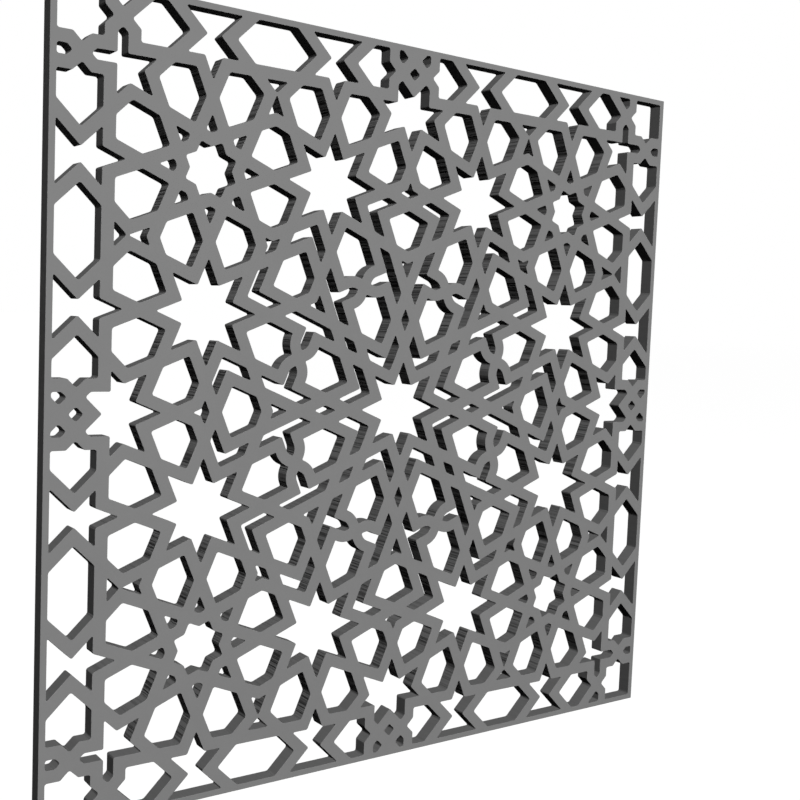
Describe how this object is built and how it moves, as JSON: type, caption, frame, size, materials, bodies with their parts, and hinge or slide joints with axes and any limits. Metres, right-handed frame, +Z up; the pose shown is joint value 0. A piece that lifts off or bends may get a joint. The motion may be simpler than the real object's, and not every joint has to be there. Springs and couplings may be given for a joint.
{
  "type": "carved lattice panel",
  "caption": "Square flat board cut right through into a lattice of straps in an eightfold star pattern, to be hung or set in a frame.",
  "frame": {"origin": "middle of the bottom edge, halfway through the thickness", "axes": "+Z up along the panel's height, -Y out of its front face, +X to the right of someone facing the front"},
  "size_m": [0.82, 0.018, 0.82],
  "materials": {
    "painted_board": "matt mid-grey paint"
  },
  "bodies": {
    "root": {"lattice_panel": "painted_board"}
  },
  "joints": []
}
